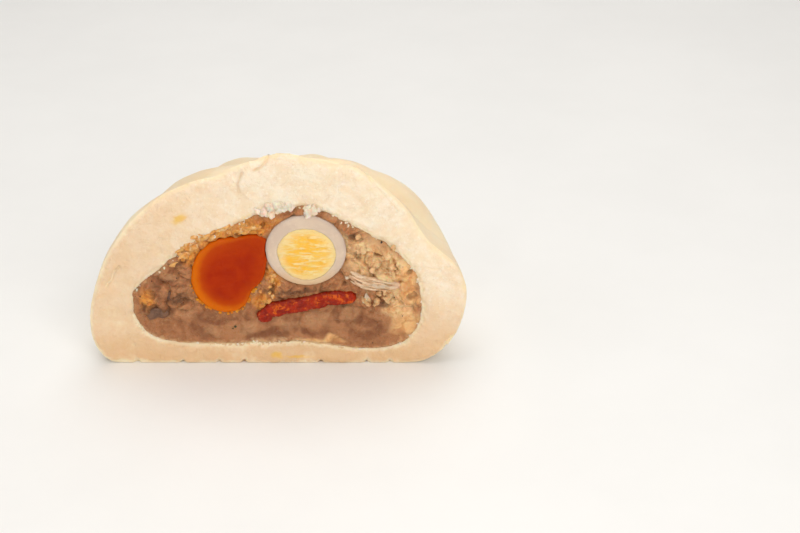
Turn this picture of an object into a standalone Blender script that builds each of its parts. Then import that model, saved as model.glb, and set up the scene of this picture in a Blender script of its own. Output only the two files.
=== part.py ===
"""One half of a large steamed pork bun, cut straight down the middle.

The bun stands on its flat base with the cut face towards -Y. X runs along the cut
face, Y goes back into the bun and Z is up. The origin is on the base, midway between
the left and right sides and midway between the cut face and the pleated back.
"""

import math

import bmesh
import bpy
from mathutils import Vector, noise

MM = 0.001
TURN = 2 * math.pi

# The whole bun before it was cut.
BUN_HEIGHT = 73.2 * MM
DOME_HEIGHT = 67.0 * MM  # the smooth dome, without the gathered knot on top
RIGHT_RADIUS, BACK_RADIUS, LEFT_RADIUS = 55.9 * MM, 56.0 * MM, 57.7 * MM
RIGHT_BELLY, BACK_BELLY, LEFT_BELLY = 23.0 * MM, 20.0 * MM, 13.0 * MM  # heights of the widest point
RIGHT_FOOT, BACK_FOOT, LEFT_FOOT = 40.0 * MM, 44.0 * MM, 49.5 * MM  # radii of the flat base
TOP_LEAN = 3.5 * MM  # how far the top stands to the right of the base's middle
RIGHT_ROUND, BACK_ROUND, LEFT_ROUND = 2.05, 1.95, 2.05  # superellipse exponents, 2 is an ellipse
KNOT_RADIUS = 11.0 * MM
OFF_CENTRE = 6.0 * MM  # the knife passed this far behind the middle of the knot
CUT_Y = -(BACK_RADIUS - OFF_CENTRE) / 2
AXIS_Y = CUT_Y - OFF_CENTRE

# Pleats gathered round the top.
PLEATS = 16
PLEAT_DEPTH = 3.0 * MM
PLEAT_SKEW = 0.82  # below 1 leans each fold towards the next
PLEAT_SWIRL = math.radians(9)
FIRST_PLEAT = math.radians(14)

# The deep fold that the knife met on the right, and the lobe above it.
FOLD_DEPTH, FOLD_HEIGHT, FOLD_TALL = 6.2 * MM, 47.0 * MM, 11.5 * MM
FOLD_TURN, FOLD_WIDE = math.radians(9), math.radians(12)
SHOULDER_RISE, SHOULDER_OUT, SHOULDER_WIDE = 3.4 * MM, 19.0 * MM, 8.0 * MM

# The filling: a lump with a flat underside and a leaning top.
FILLING_X, FILLING_Z = 0.2 * MM, 24.0 * MM
FILLING_HALF_WIDTH = 42.4 * MM
FILLING_RISE, FILLING_DROP = 27.3 * MM, 16.3 * MM
FILLING_LEFT, FILLING_RIGHT, FILLING_UNDER = 1.28, 1.90, 3.2  # superellipse exponents
FILLING_BULGES = (  # direction from its middle, rise and width of what swells it: egg, right and left corners
    (math.radians(70), 3.0 * MM, math.radians(17)),
    (math.radians(-29), 6.5 * MM, math.radians(15)),
    (math.radians(-154), 3.6 * MM, math.radians(13)),
)
FILLING_DEPTH = 38.0 * MM
GAP = 0.3 * MM

# What lies in the filling, as (X, Z) on the cut face.
EGG_X, EGG_Z, EGG_HALF_WIDTH, EGG_HALF_HEIGHT, EGG_DEPTH = (
    9.25 * MM, 39.6 * MM, 11.8 * MM, 11.6 * MM, 14.0 * MM)
EGG_YOLK_X, EGG_YOLK_Z, EGG_YOLK_RADIUS, EGG_YOLK_DEPTH = 9.4 * MM, 38.5 * MM, 8.45 * MM, 9.5 * MM
SALTED_X, SALTED_Z, SALTED_RADIUS, SALTED_DEPTH = -13.8 * MM, 31.1 * MM, 11.8 * MM, 12.0 * MM
SAUSAGE_START, SAUSAGE_END = (-4.9 * MM, 18.9 * MM), (24.0 * MM, 24.3 * MM)
SAUSAGE_THICK, SAUSAGE_DEPTH = 4.9 * MM, 12.0 * MM
SHRED_START, SHRED_END = (22.2 * MM, 31.6 * MM), (36.4 * MM, 27.9 * MM)
SHRED_THICK, SHRED_DEPTH = 3.4 * MM, 8.0 * MM
MUSHROOMS = (  # X, Z, length, thickness, tilt in degrees
    (-35.4 * MM, 17.6 * MM, 8.4 * MM, 4.0 * MM, 4),
    (-29.6 * MM, 24.4 * MM, 7.6 * MM, 3.2 * MM, 12),
)
MUSHROOM_DEPTH = 6.0 * MM

# How finely the solids are faceted.
STEPS_PER_PLEAT = 8
BELLY_STEPS, DOME_STEPS = 5, 25
DOUGH_CELL, FILLING_CELL = 5.0 * MM, 3.4 * MM
DOUGH_RELIEF, FILLING_RELIEF = 0.35 * MM, 1.0 * MM


def eased(value, start, end):
    """0 before start, 1 after end, and smooth between them."""
    share = min(1.0, max(0.0, (value - start) / (end - start)))
    return share * share * (3 - 2 * share)


def bell(value, middle, width):
    return math.exp(-(((value - middle) / width) ** 2))


def signed_turn(turn):
    """The turn from the right-hand side, from -half a turn to half a turn."""
    return (turn + math.pi) % TURN - math.pi


def round_value(turn, right, back, left):
    """A size that differs at the bun's right, back and left, eased round the axis."""
    c = math.cos(turn)
    return back + (right - left) / 2 * c + ((right + left) / 2 - back) * c * c


def dome_profile(turn, climb):
    """Radius and height of the smooth bun. Climb is -1 at the base's edge, 0 at the widest point, 1 on top."""
    widest = round_value(turn, RIGHT_RADIUS, BACK_RADIUS, LEFT_RADIUS)
    belly = round_value(turn, RIGHT_BELLY, BACK_BELLY, LEFT_BELLY)
    foot = round_value(turn, RIGHT_FOOT, BACK_FOOT, LEFT_FOOT)
    power = 2 / round_value(turn, RIGHT_ROUND, BACK_ROUND, LEFT_ROUND)
    angle = abs(climb) * math.pi / 2
    across = max(0.0, math.cos(angle)) ** power
    up = math.sin(angle) ** power
    if climb < 0:
        return foot + (widest - foot) * across, belly * (1 - up)
    return widest * across, belly + (DOME_HEIGHT - belly) * up


def groove_depth(number, climb):
    """Depth of one groove between two pleats; each starts at its own height and fades near the top."""
    own = noise.noise(Vector((number % PLEATS * 3.7, 1.3, 0.0)))
    low_end = 0.14 + 0.10 * own
    depth = PLEAT_DEPTH * (1 + 0.5 * own) * eased(climb, low_end - 0.10, low_end + 0.32)
    return depth * (1 - eased(climb, 0.50, 0.93))


def pleat_relief(lane, climb):
    """Height of the pleats over the smooth dome. Lane counts the pleats round the bun."""
    number = math.floor(lane)
    share = (lane - number) ** PLEAT_SKEW
    depth = groove_depth(number, climb) * (1 - share) + groove_depth(number + 1, climb) * share
    narrow = 0.45 + 0.40 * eased(climb, 0.1, 0.75)
    return depth * (math.sin(math.pi * share) ** narrow - 0.75)


def cut_fold(turn, radius, height):
    """The deep fold and the lobe that the knife passed through on the right."""
    away = signed_turn(turn)
    fold = FOLD_DEPTH * bell(away, FOLD_TURN, FOLD_WIDE) * bell(height, FOLD_HEIGHT, FOLD_TALL)
    lobe = SHOULDER_RISE * bell(radius * math.sin(away), OFF_CENTRE, SHOULDER_WIDE)
    lobe *= bell(radius * math.cos(away), SHOULDER_OUT, SHOULDER_WIDE)
    return lobe - fold


def bun_point(turn, lane, climb):
    """A point of the pleated skin."""
    radius, height = dome_profile(turn, climb)
    step = 0.002
    lower = dome_profile(turn, max(-1.0, climb - step))
    upper = dome_profile(turn, min(1.0, climb + step))
    along = Vector((upper[0] - lower[0], upper[1] - lower[1])).normalized()
    out = pleat_relief(lane, climb) + cut_fold(turn, radius, height)
    out *= eased(climb, -0.05, 0.15)
    radius = max(0.0, radius + out * along.y)
    height -= out * along.x
    height += (BUN_HEIGHT - DOME_HEIGHT) * bell(radius, 0, KNOT_RADIUS)
    lean = TOP_LEAN * height / BUN_HEIGHT
    return Vector((lean + radius * math.cos(turn), AXIS_Y + radius * math.sin(turn), height))


def bun_ring(climb):
    """One ring of the skin. Its points follow the pleats, which swirl a little on their way up."""
    count = PLEATS * STEPS_PER_PLEAT
    ring = []
    for i in range(count):
        lane = i / STEPS_PER_PLEAT
        nominal = TURN * i / count
        turn = nominal + FIRST_PLEAT + PLEAT_SWIRL * max(0.0, climb) + 0.06 * math.sin(3 * nominal + 1.0)
        ring.append(bun_point(turn, lane, climb))
    return ring


def joined_rings(name, rings):
    """A closed body skinned over rings of points; its ends may be single points or rings."""
    mesh = bmesh.new()
    made = [[mesh.verts.new(p) for p in ring] for ring in rings]
    for low, high in zip(made, made[1:]):
        count = max(len(low), len(high))
        for i in range(count):
            corners = [low[i % len(low)], low[(i + 1) % len(low)],
                       high[(i + 1) % len(high)], high[i % len(high)]]
            mesh.faces.new(list(dict.fromkeys(corners)))
    for end in (made[0], made[-1]):
        if len(end) > 1:
            mesh.faces.new(end)
    bmesh.ops.recalc_face_normals(mesh, faces=mesh.faces)
    return as_object(name, mesh)


def as_object(name, mesh):
    data = bpy.data.meshes.new(name)
    mesh.to_mesh(data)
    mesh.free()
    made = bpy.data.objects.new(name, data)
    bpy.context.scene.collection.objects.link(made)
    return made


def as_cutter(made):
    made.hide_render = True
    made.display_type = "WIRE"
    return made


def boolean(target, cutter, operation):
    modifier = target.modifiers.new(operation.title() + " " + cutter.name, "BOOLEAN")
    modifier.operation = operation
    modifier.solver = "EXACT"
    modifier.object = cutter


def knife_side(name, cell, relief, grain, front=CUT_Y):
    """The space behind the knife: a slab whose front is as uneven as the cut."""
    reach, high = 66 * MM, 84 * MM
    mesh = bmesh.new()
    bmesh.ops.create_grid(mesh, x_segments=round(2 * reach / cell), y_segments=round(high / cell), size=0.5)
    for v in mesh.verts:
        x, z = v.co.x * 2 * reach, v.co.y * high + 0.45 * high
        rough = noise.fractal(Vector((x, 0, z)) / grain, 0.9, 2.0, 3)
        v.co = (x, front - relief * rough, z)
    swept = bmesh.ops.extrude_face_region(mesh, geom=mesh.faces[:])
    for v in swept["geom"]:
        if isinstance(v, bmesh.types.BMVert):
            v.co.y = CUT_Y + 90 * MM
    bmesh.ops.recalc_face_normals(mesh, faces=mesh.faces)
    return as_cutter(as_object(name, mesh))


def lump(name, place, outline, depth, crown=0.0, grow=0.0, snout=0.0, around=32, behind=6, square=0.9):
    """A body with its outline in the cut face, rounded off behind it.

    The front is domed by crown. Grow makes it a clearance larger all round, and snout
    carries it forward of the cut, as a cutter needs.
    """
    x, z = place

    def ring(scale, y):
        points = []
        for i in range(around):
            angle = TURN * i / around
            radius = (outline(angle) + grow) * scale
            points.append(Vector((x + radius * math.cos(angle), y, z + radius * math.sin(angle))))
        return points

    if snout:
        rings = [ring(1.0, CUT_Y - snout)]
    else:
        shares = (0.45, 0.78, 0.94)
        rings = [[Vector((x, CUT_Y - crown, z))]]
        rings += [ring(share, CUT_Y - crown * (1 - share ** 4)) for share in shares]
    for i in range(behind):
        angle = i / behind * math.pi / 2
        rings.append(ring(math.cos(angle) ** square, CUT_Y + (depth + grow) * math.sin(angle)))
    rings.append([Vector((x, CUT_Y + depth + grow, z))])
    return joined_rings(name, rings)


def superellipse(angle, half_width, half_height, exponent):
    across, up = abs(math.cos(angle)) / half_width, abs(math.sin(angle)) / half_height
    return (across ** exponent + up ** exponent) ** (-1 / exponent)


def filling_outline(angle):
    """Outline of the filling on the cut face, as a radius from its middle."""
    up = math.sin(angle)
    if up < 0:
        radius = superellipse(angle, FILLING_HALF_WIDTH, FILLING_DROP, FILLING_UNDER)
    else:
        exponent = FILLING_LEFT + (FILLING_RIGHT - FILLING_LEFT) * eased(math.cos(angle), -0.5, 0.6)
        radius = superellipse(angle, FILLING_HALF_WIDTH, FILLING_RISE, exponent)
    bulges = sum(rise * bell(signed_turn(angle - turn), 0, wide) for turn, rise, wide in FILLING_BULGES)
    ragged = noise.fractal(Vector((2.6 * math.cos(angle), 2.6 * up, 4.0)), 0.8, 2.0, 3)
    return radius + bulges + 0.8 * MM * ragged


def egg_outline(angle):
    return superellipse(angle, EGG_HALF_WIDTH, EGG_HALF_HEIGHT, 2.0)


def egg_yolk_outline(angle):
    return EGG_YOLK_RADIUS * (1 + 0.015 * math.sin(3 * angle + 0.6))


def salted_outline(angle):
    """A ball pressed up into a corner beside the egg, and in where the meat lies under it."""
    corner = 4.6 * MM * bell(signed_turn(angle - math.radians(48)), 0, math.radians(20))
    press = 2.6 * MM * bell(signed_turn(angle - math.radians(322)), 0, math.radians(30))
    return SALTED_RADIUS + 0.9 * MM * math.cos(2 * (angle - math.radians(72))) + corner - press


def strip(name, start, end, thick, depth, sag, end_swell=0.0, droop=0.0, grow=0.0, snout=0.0):
    """A bent strip that shows its long side in the cut face. Its first end may swell and droop."""
    start, end = Vector((start[0], 0, start[1])), Vector((end[0], 0, end[1]))
    along = (end - start).normalized()
    across = Vector((-along.z, 0, along.x))
    steps, corners = 12, 10
    rings = []
    back = CUT_Y + depth + grow
    front = CUT_Y - (snout or 0.5 * MM)
    for i in range(steps + 1):
        share = 0.5 - 0.5 * math.cos(math.pi * i / steps)
        first = bell(share, 0.05, 0.14)
        middle = start.lerp(end, share) + across * (sag * math.sin(math.pi * share) - droop * first)
        half = thick / 2 * (1 + end_swell * first + 0.10 * noise.noise(Vector((share * 7, 2.0, 0))))
        edge = rounded_ends(share)
        half = half * edge + grow
        middle += along * (grow * (2 * share - 1))
        ring = []
        for j in range(corners):
            angle = TURN * j / corners
            up, into = math.cos(angle), math.sin(angle)
            rise = math.copysign(abs(up) ** 0.6, up) * half
            deep = math.copysign(abs(into) ** 0.4, into) if abs(into) > 1e-9 else 0.0
            y = (front + back) / 2 + deep * (back - front) / 2 * (0.75 + 0.25 * edge if not snout else 1.0)
            ring.append(middle + across * rise + Vector((0, y, 0)))
        rings.append(ring)
    return joined_rings(name, rings)


def rounded_ends(share):
    """Full in the middle of a strip and rounded off at its two ends."""
    return max(0.3, max(0.0, 1 - abs(2 * share - 1) ** 6) ** 0.5)


def sausage(name, **how):
    return strip(name, SAUSAGE_START, SAUSAGE_END, SAUSAGE_THICK, SAUSAGE_DEPTH, 0.5 * MM,
                 end_swell=0.55, droop=1.6 * MM, **how)


def shred(name, **how):
    return strip(name, SHRED_START, SHRED_END, SHRED_THICK, SHRED_DEPTH, -0.9 * MM, end_swell=0.15, **how)


def mushroom(number, name, **how):
    x, z, length, thick, tilt = MUSHROOMS[number]
    half = Vector((math.cos(math.radians(tilt)), math.sin(math.radians(tilt)))) * length / 2
    return strip(name, (x - half.x, z - half.y), (x + half.x, z + half.y), thick, MUSHROOM_DEPTH, 0.6 * MM, **how)


def material(name, colour, roughness):
    made = bpy.data.materials.new(name)
    made.use_nodes = True
    shader = made.node_tree.nodes["Principled BSDF"]
    shader.inputs["Base Color"].default_value = (*colour, 1)
    shader.inputs["Roughness"].default_value = roughness
    shader.inputs["Metallic"].default_value = 0.0
    return made


def finish(made, colour, roughness, smooth_under=35):
    made.data.materials.append(material(made.name, colour, roughness))
    made.data.shade_smooth()
    made.data.set_sharp_from_angle(angle=math.radians(smooth_under))


def build_dough():
    """The pleated wrapper, cut in half, with the space that the filling lies in."""
    base_middle = Vector((0, AXIS_Y, 0))
    climbs = [-1 + i / BELLY_STEPS for i in range(BELLY_STEPS)]
    climbs += [(i / DOME_STEPS) ** 0.92 for i in range(DOME_STEPS)]
    top = bun_point(0, 0, 1)
    top.x, top.y = TOP_LEAN, AXIS_Y
    dough = joined_rings("dough", [[base_middle]] + [bun_ring(c) for c in climbs] + [[top]])
    cut = knife_side("knife_side_of_dough", DOUGH_CELL, DOUGH_RELIEF, 14 * MM)
    space = as_cutter(lump("space_for_filling", (FILLING_X, FILLING_Z), filling_outline, FILLING_DEPTH,
                           grow=GAP, snout=6 * MM, around=60, behind=7, square=0.8))
    boolean(dough, cut, "INTERSECT")
    boolean(dough, space, "DIFFERENCE")
    finish(dough, (0.80, 0.70, 0.54), 0.6)


def build_filling():
    """Minced pork, with pockets for what lies in it."""
    filling = lump("pork_filling", (FILLING_X, FILLING_Z), filling_outline, FILLING_DEPTH,
                   snout=4 * MM, around=60, behind=7, square=0.8)
    boolean(filling, knife_side("knife_side_of_filling", FILLING_CELL, FILLING_RELIEF, 4.2 * MM), "INTERSECT")
    pockets = [
        lump("egg_pocket", (EGG_X, EGG_Z), egg_outline, EGG_DEPTH, grow=GAP, snout=6 * MM),
        sausage("sausage_pocket", grow=GAP, snout=5.5 * MM),
        lump("salted_pocket", (SALTED_X, SALTED_Z), salted_outline, SALTED_DEPTH, grow=GAP, snout=5 * MM),
        shred("shred_pocket", grow=GAP, snout=5.5 * MM),
    ]
    pockets += [mushroom(i, f"mushroom_pocket_{i + 1}", grow=GAP, snout=5 * MM) for i in range(len(MUSHROOMS))]
    for pocket in pockets:
        boolean(filling, as_cutter(pocket), "DIFFERENCE")
    finish(filling, (0.42, 0.27, 0.18), 0.45)
    return pockets


def build_eggs(egg_pocket):
    """The halved quail egg with its yolk, and the salted duck yolk beside it."""
    white = lump("quail_egg_white", (EGG_X, EGG_Z), egg_outline, EGG_DEPTH, crown=0.6 * MM)
    yolk_pocket = lump("egg_yolk_pocket", (EGG_YOLK_X, EGG_YOLK_Z), egg_yolk_outline, EGG_YOLK_DEPTH,
                       grow=GAP, snout=6 * MM)
    boolean(white, as_cutter(yolk_pocket), "DIFFERENCE")
    finish(white, (0.78, 0.72, 0.64), 0.25)
    yolk = lump("quail_egg_yolk", (EGG_YOLK_X, EGG_YOLK_Z), egg_yolk_outline, EGG_YOLK_DEPTH, crown=0.4 * MM)
    finish(yolk, (0.90, 0.58, 0.13), 0.6)
    salted = lump("salted_egg_yolk", (SALTED_X, SALTED_Z), salted_outline, SALTED_DEPTH, crown=0.5 * MM)
    boolean(salted, egg_pocket, "DIFFERENCE")
    finish(salted, (0.62, 0.13, 0.005), 0.25)


def build_meats():
    """The slice of red sausage, the pale shred of pork and the mushroom strips."""
    finish(sausage("red_sausage"), (0.55, 0.05, 0.01), 0.3)
    finish(shred("pork_shred"), (0.55, 0.38, 0.28), 0.45)
    for i in range(len(MUSHROOMS)):
        finish(mushroom(i, f"mushroom_strip_{i + 1}"), (0.10, 0.06, 0.04), 0.4)


def main():
    for old in list(bpy.data.objects):
        bpy.data.objects.remove(old)
    build_dough()
    pockets = build_filling()
    build_eggs(pockets[0])
    build_meats()


main()
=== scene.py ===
"""The looks of half a steamed pork bun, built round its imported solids.

The cut face looks towards -Y and the base stands on the floor. Lengths are in metres,
and MM turns the sizes that are named in millimetres into them.
"""

import math
import random

import bpy
from mathutils import Euler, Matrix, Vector, noise


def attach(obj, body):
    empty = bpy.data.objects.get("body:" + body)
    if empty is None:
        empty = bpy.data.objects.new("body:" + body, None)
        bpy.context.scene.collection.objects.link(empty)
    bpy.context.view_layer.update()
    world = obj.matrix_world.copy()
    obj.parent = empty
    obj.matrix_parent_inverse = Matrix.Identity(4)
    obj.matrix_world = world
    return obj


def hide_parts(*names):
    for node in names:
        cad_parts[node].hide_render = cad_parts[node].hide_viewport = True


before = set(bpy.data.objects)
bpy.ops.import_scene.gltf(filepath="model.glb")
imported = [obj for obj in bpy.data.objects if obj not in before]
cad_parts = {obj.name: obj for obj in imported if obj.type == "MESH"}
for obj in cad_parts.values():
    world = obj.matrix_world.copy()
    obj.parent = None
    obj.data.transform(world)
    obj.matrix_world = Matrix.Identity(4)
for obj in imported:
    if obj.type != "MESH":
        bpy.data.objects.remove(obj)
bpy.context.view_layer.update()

MM = 0.001
TURN = 2 * math.pi

# The offsets of noise_vector come from the clock unless they are seeded.
NOISE_SEED = 7
noise.seed_set(NOISE_SEED)

# The bun before it was cut: the same sizes as its solid.
BUN_HEIGHT, DOME_HEIGHT, KNOT_RADIUS = 73.2 * MM, 67.0 * MM, 11.0 * MM
RIGHT_RADIUS, BACK_RADIUS, LEFT_RADIUS = 55.9 * MM, 56.0 * MM, 57.7 * MM
RIGHT_BELLY, BACK_BELLY, LEFT_BELLY = 23.0 * MM, 20.0 * MM, 13.0 * MM
RIGHT_FOOT, BACK_FOOT, LEFT_FOOT = 40.0 * MM, 44.0 * MM, 49.5 * MM
RIGHT_ROUND, BACK_ROUND, LEFT_ROUND = 2.05, 1.95, 2.05
TOP_LEAN = 3.5 * MM
OFF_CENTRE = 6.0 * MM
CUT_Y = -(BACK_RADIUS - OFF_CENTRE) / 2
AXIS_Y = CUT_Y - OFF_CENTRE

# Pleats, the deep fold on the right and the lobe above it.
PLEATS = 16
PLEAT_DEPTH = 3.0 * MM
PLEAT_SKEW = 0.82
PLEAT_SWIRL = math.radians(9)
FIRST_PLEAT = math.radians(14)
FOLD_DEPTH, FOLD_HEIGHT, FOLD_TALL = 6.2 * MM, 47.0 * MM, 11.5 * MM
FOLD_TURN, FOLD_WIDE = math.radians(9), math.radians(12)
SHOULDER_RISE, SHOULDER_OUT, SHOULDER_WIDE = 3.4 * MM, 19.0 * MM, 8.0 * MM

# The filling and what lies in it, as (X, Z) on the cut face.
FILLING_X, FILLING_Z, FILLING_DEPTH = 0.2 * MM, 24.0 * MM, 38.0 * MM
FILLING_HALF_WIDTH, FILLING_RISE, FILLING_DROP = 42.4 * MM, 27.3 * MM, 16.3 * MM
FILLING_LEFT, FILLING_RIGHT, FILLING_UNDER = 1.28, 1.90, 3.2
FILLING_BULGES = (
    (math.radians(70), 3.0 * MM, math.radians(17)),
    (math.radians(-29), 6.5 * MM, math.radians(15)),
    (math.radians(-154), 3.6 * MM, math.radians(13)),
)
EGG_X, EGG_Z, EGG_HALF_WIDTH, EGG_HALF_HEIGHT, EGG_DEPTH = (
    9.25 * MM, 39.6 * MM, 11.8 * MM, 11.6 * MM, 14.0 * MM)
YOLK_X, YOLK_Z, YOLK_RADIUS, YOLK_DEPTH = 9.4 * MM, 38.5 * MM, 8.45 * MM, 9.5 * MM
SALTED_X, SALTED_Z, SALTED_RADIUS, SALTED_DEPTH = -13.8 * MM, 31.1 * MM, 11.8 * MM, 12.0 * MM

# The photograph's camera, so that the render can be laid over it.
CAMERA_PLACE = (36.65 * MM, CUT_Y - 348.3 * MM, 233.1 * MM)
CAMERA_PITCH = math.radians(29.7)
CAMERA_LENS, CAMERA_SENSOR = 61.65, 36.0


# Sizes that change round the bun

def eased(value, start, end):
    """0 before start, 1 after end, and smooth between them."""
    share = min(1.0, max(0.0, (value - start) / (end - start)))
    return share * share * (3 - 2 * share)


def bell(value, middle, width):
    return math.exp(-(((value - middle) / width) ** 2))


def signed_turn(turn):
    """The same turn, from -pi to pi."""
    return (turn + math.pi) % TURN - math.pi


def round_value(turn, right, back, left):
    """A size that differs at the bun's right, back and left, eased round the axis."""
    c = math.cos(turn)
    return back + (right - left) / 2 * c + ((right + left) / 2 - back) * c * c


def dome_profile(turn, climb):
    """Radius and height of the smooth bun, from the base's edge at -1 to the top at 1."""
    widest = round_value(turn, RIGHT_RADIUS, BACK_RADIUS, LEFT_RADIUS)
    belly = round_value(turn, RIGHT_BELLY, BACK_BELLY, LEFT_BELLY)
    foot = round_value(turn, RIGHT_FOOT, BACK_FOOT, LEFT_FOOT)
    power = 2 / round_value(turn, RIGHT_ROUND, BACK_ROUND, LEFT_ROUND)
    angle = abs(climb) * math.pi / 2
    across = max(0.0, math.cos(angle)) ** power
    up = math.sin(angle) ** power
    if climb < 0:
        return foot + (widest - foot) * across, belly * (1 - up)
    return widest * across, belly + (DOME_HEIGHT - belly) * up


def groove_depth(number, climb):
    """Depth of one groove between pleats, which fades out at the belly and the top."""
    own = noise.noise(Vector((number % PLEATS * 3.7, 1.3, 0.0)))
    low_end = 0.14 + 0.10 * own
    depth = PLEAT_DEPTH * (1 + 0.5 * own) * eased(climb, low_end - 0.10, low_end + 0.32)
    return depth * (1 - eased(climb, 0.50, 0.93))


def pleat_relief(lane, climb):
    """How far the skin stands out on a pleat, and sinks in the pinch between two."""
    number = math.floor(lane)
    share = (lane - number) ** PLEAT_SKEW
    depth = groove_depth(number, climb) * (1 - share) + groove_depth(number + 1, climb) * share
    narrow = 0.45 + 0.40 * eased(climb, 0.1, 0.75)
    rib = depth * (math.sin(math.pi * share) ** narrow - 0.75)
    pinch = 0.30 * depth + 0.8 * MM * eased(climb, 0.45, 0.75) * (1 - eased(climb, 0.95, 1.0))
    return rib - pinch * bell(min(share, 1 - share), 0, 0.05 + 0.10 * eased(climb, 0.6, 0.95))


def cut_fold(turn, radius, height):
    """The deep fold on the right and the lobe above it."""
    away = signed_turn(turn)
    fold = FOLD_DEPTH * bell(away, FOLD_TURN, FOLD_WIDE) * bell(height, FOLD_HEIGHT, FOLD_TALL)
    lobe = SHOULDER_RISE * bell(radius * math.sin(away), OFF_CENTRE, SHOULDER_WIDE)
    lobe *= bell(radius * math.cos(away), SHOULDER_OUT, SHOULDER_WIDE)
    return lobe - fold


def bun_point(nominal, climb):
    """A point of the pleated skin. Nominal is its turn before the pleats swirl."""
    lane = nominal / TURN * PLEATS
    turn = nominal + FIRST_PLEAT + PLEAT_SWIRL * max(0.0, climb) + 0.06 * math.sin(3 * nominal + 1.0)
    radius, height = dome_profile(turn, climb)
    step = 0.002
    lower = dome_profile(turn, max(-1.0, climb - step))
    upper = dome_profile(turn, min(1.0, climb + step))
    along = Vector((upper[0] - lower[0], upper[1] - lower[1])).normalized()
    out = (pleat_relief(lane, climb) + cut_fold(turn, radius, height)) * eased(climb, -0.05, 0.15)
    radius = max(0.0, radius + out * along.y)
    height -= out * along.x
    height += (BUN_HEIGHT - DOME_HEIGHT) * bell(radius, 0, KNOT_RADIUS)
    lean = TOP_LEAN * height / BUN_HEIGHT
    return Vector((lean + radius * math.cos(turn), AXIS_Y + radius * math.sin(turn), height))


def superellipse(angle, half_width, half_height, exponent):
    """Radius of an oval that is squarer the higher its exponent."""
    across, up = abs(math.cos(angle)) / half_width, abs(math.sin(angle)) / half_height
    return (across ** exponent + up ** exponent) ** (-1 / exponent)


def filling_outline(angle):
    """The arch of the filling on the cut face, with its bulges."""
    up = math.sin(angle)
    if up < 0:
        radius = superellipse(angle, FILLING_HALF_WIDTH, FILLING_DROP, FILLING_UNDER)
    else:
        exponent = FILLING_LEFT + (FILLING_RIGHT - FILLING_LEFT) * eased(math.cos(angle), -0.5, 0.6)
        radius = superellipse(angle, FILLING_HALF_WIDTH, FILLING_RISE, exponent)
    bulges = sum(rise * bell(signed_turn(angle - turn), 0, wide) for turn, rise, wide in FILLING_BULGES)
    ragged = noise.fractal(Vector((2.6 * math.cos(angle), 2.6 * up, 4.0)), 0.8, 2.0, 3)
    return radius + bulges + 0.8 * MM * ragged


def ragged_outline(angle):
    """The filling's outline with the small bites and crumbs of its border."""
    around = Vector((14 * math.cos(angle), 14 * math.sin(angle), 2.0))
    return filling_outline(angle) + 0.55 * MM * noise.fractal(around, 0.7, 2.0, 4)


def egg_outline(angle):
    return superellipse(angle, EGG_HALF_WIDTH, EGG_HALF_HEIGHT, 2.0)


def yolk_outline(angle):
    wobble = noise.fractal(Vector((3 * math.cos(angle), 3 * math.sin(angle), 0.5)), 0.9, 2.0, 3)
    return YOLK_RADIUS * (1 + 0.015 * math.sin(3 * angle + 0.6) + 0.018 * wobble)


def salted_outline(angle):
    """A ball pressed up into a corner beside the egg, and in where the meat lies under it."""
    corner = 4.6 * MM * bell(signed_turn(angle - math.radians(48)), 0, math.radians(20))
    press = 2.6 * MM * bell(signed_turn(angle - math.radians(322)), 0, math.radians(30))
    return SALTED_RADIUS + 0.9 * MM * math.cos(2 * (angle - math.radians(72))) + corner - press


# Hand tools

def take(*pieces):
    """Only these objects are selected, and the first is active."""
    if bpy.context.object and bpy.context.object.mode != "OBJECT":
        bpy.ops.object.mode_set(mode="OBJECT")
    bpy.ops.object.select_all(action="DESELECT")
    for piece in pieces:
        piece.select_set(True)
    bpy.context.view_layer.objects.active = pieces[0]


def name_piece(piece, name):
    piece.name = name
    piece.data.name = name
    return piece


def apply(piece, kind, **settings):
    """Adds a modifier of this kind, sets it and applies it."""
    take(piece)
    modifier = piece.modifiers.new(kind.title(), kind)
    for key, value in settings.items():
        setattr(modifier, key, value)
    bpy.ops.object.modifier_apply(modifier=modifier.name)


def join(pieces, name):
    take(*pieces)
    if len(pieces) > 1:
        bpy.ops.object.join()
    return name_piece(pieces[0], name)


def pick(piece, test):
    """Enters edit mode with only the faces selected whose middle and normal pass the test."""
    take(piece)
    bpy.ops.object.mode_set(mode="EDIT")
    bpy.ops.mesh.select_mode(type="FACE")
    bpy.ops.mesh.select_all(action="DESELECT")
    bpy.ops.object.mode_set(mode="OBJECT")
    for face in piece.data.polygons:
        face.select = test(face.center, face.normal)
    bpy.ops.object.mode_set(mode="EDIT")


def refine(piece, test):
    """Splits the faces that pass the test into nine each."""
    pick(piece, test)
    bpy.ops.mesh.subdivide(number_cuts=2)
    bpy.ops.object.mode_set(mode="OBJECT")


def carve(piece, tool, operation="DIFFERENCE"):
    """Cuts a tool out of a piece, and clears the tool away."""
    apply(piece, "BOOLEAN", operation=operation, solver="EXACT", object=tool)
    bpy.data.objects.remove(tool)


def even_out(piece, grain, passes=3, factor=0.5):
    """Gives a piece one even skin of small faces."""
    apply(piece, "REMESH", mode="VOXEL", voxel_size=grain, adaptivity=0.0)
    if passes:
        apply(piece, "SMOOTH", factor=factor, iterations=passes)


WHOLE = ""  # the name of no vertex group


def relief(piece, group, kind, grain, height, middle=0.5, **settings):
    """Raises a texture out of the part that a vertex group marks, or out of the whole piece."""
    texture = bpy.data.textures.new(piece.name + "_relief", kind)
    texture.noise_scale = grain
    for key, value in settings.items():
        setattr(texture, key, value)
    apply(piece, "DISPLACE", texture=texture, texture_coords="LOCAL", strength=height,
          mid_level=middle, vertex_group=group)
    bpy.data.textures.remove(texture)


def weigh(piece, group, weight):
    """A vertex group whose weights come from a vertex's place and normal."""
    marks = piece.vertex_groups.get(group) or piece.vertex_groups.new(name=group)
    for v in piece.data.vertices:
        marks.add([v.index], min(1.0, max(0.0, weight(v.co, v.normal))), "REPLACE")


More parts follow.
